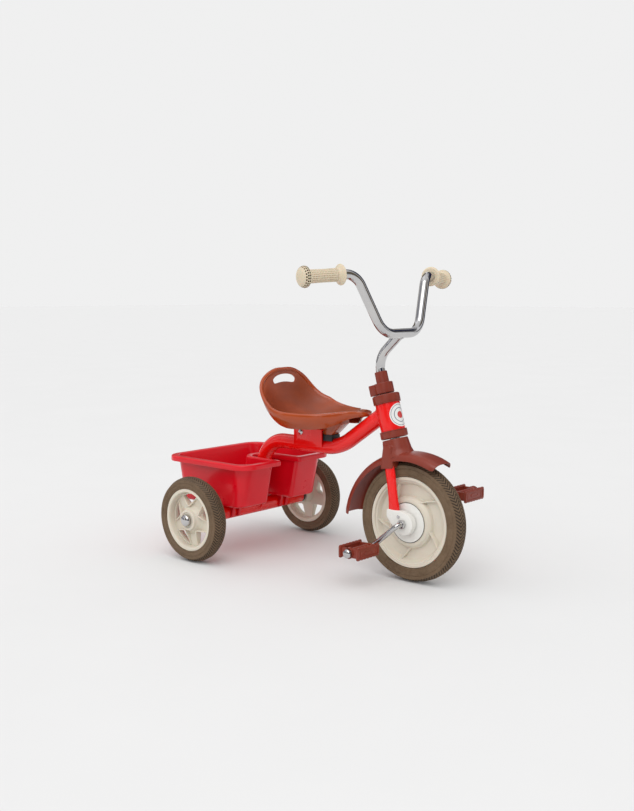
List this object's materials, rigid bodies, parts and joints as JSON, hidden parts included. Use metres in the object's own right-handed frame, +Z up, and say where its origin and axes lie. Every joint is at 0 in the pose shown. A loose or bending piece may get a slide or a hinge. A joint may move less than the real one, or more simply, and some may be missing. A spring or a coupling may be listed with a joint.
{
  "type": "children's tricycle",
  "caption": "Pedal tricycle with a bent tube frame, tractor seat, pedals on the front wheel, wide handlebar and a tipping rear bucket.",
  "frame": {"origin": "on the ground, at the middle of the tricycle's footprint", "axes": "+X forward, +Y to the rider's left, +Z up"},
  "size_m": [0.74, 0.4886, 0.6538],
  "materials": {
    "frame_red": "gloss",
    "bucket_red": "gloss",
    "brown_plastic": "satin",
    "seat_plastic": "satin",
    "rim_plastic": "satin",
    "grip_plastic": "satin",
    "tyre_rubber": "matte",
    "chrome": "polished",
    "white_plastic": "gloss",
    "black_rubber": "matte",
    "badge_film": "gloss"
  },
  "bodies": {
    "frame": {"main_tube": "frame_red", "axle_tube": "frame_red", "head_tube": "frame_red", "upper_collar": "brown_plastic", "lower_collar": "brown_plastic", "head_badge": "badge_film", "seat_bracket": "frame_red", "seat": "seat_plastic", "seat_pad": "black_rubber", "seat_screws": "chrome", "seat_bracket_bolt": "chrome", "axle_end_bushes": "black_rubber", "rear_axle_rod": "chrome", "rear_axle_washers": "chrome", "rear_cap_nuts": "chrome"},
    "steering": {"steerer": "chrome", "fork": "frame_red", "mudguard": "brown_plastic", "stem": "chrome", "stem_clamp": "brown_plastic", "stem_clamp_bolt": "chrome", "handlebar": "chrome", "grip_right": "grip_plastic", "grip_left": "grip_plastic", "dropout_cover_right": "white_plastic", "dropout_cover_left": "white_plastic", "dropout_screws": "chrome"},
    "front_wheel": {"front_rim": "rim_plastic", "front_tyre": "tyre_rubber", "hub_cap_right": "white_plastic", "hub_cap_left": "white_plastic", "crank": "chrome", "crank_nuts": "chrome", "pedal_cap_nuts": "chrome"},
    "pedal_right": {"pedal_right": "brown_plastic"},
    "pedal_left": {"pedal_left": "brown_plastic"},
    "rear_wheel_right": {"rear_rim_right": "rim_plastic", "rear_tyre_right": "tyre_rubber"},
    "rear_wheel_left": {"rear_rim_left": "rim_plastic", "rear_tyre_left": "tyre_rubber"},
    "bucket": {"bucket": "bucket_red"}
  },
  "joints": [
    {"name": "steer", "type": "hinge", "parent": "frame", "child": "steering", "pos_m": [0.243, 0, 0.127], "axis": [-0.2756, 0, 0.9613], "range_deg": [-60, 60]},
    {"name": "front_wheel_spin", "type": "hinge", "parent": "steering", "child": "front_wheel", "pos_m": [0.243, 0, 0.127], "axis": [0, 1, 0], "continuous": true},
    {"name": "pedal_right_spin", "type": "hinge", "parent": "front_wheel", "child": "pedal_right", "pos_m": [0.18617, -0.107, 0.07654], "axis": [0, 1, 0], "continuous": true},
    {"name": "pedal_left_spin", "type": "hinge", "parent": "front_wheel", "child": "pedal_left", "pos_m": [0.29983, 0.107, 0.17746], "axis": [0, 1, 0], "continuous": true},
    {"name": "rear_wheel_right_spin", "type": "hinge", "parent": "frame", "child": "rear_wheel_right", "pos_m": [-0.223, -0.195, 0.096], "axis": [0, 1, 0], "continuous": true},
    {"name": "rear_wheel_left_spin", "type": "hinge", "parent": "frame", "child": "rear_wheel_left", "pos_m": [-0.223, 0.195, 0.096], "axis": [0, 1, 0], "continuous": true},
    {"name": "bucket_tip", "type": "hinge", "parent": "frame", "child": "bucket", "pos_m": [-0.223, 0, 0.096], "axis": [0, -1, 0], "range_deg": [0, 60]}
  ]
}
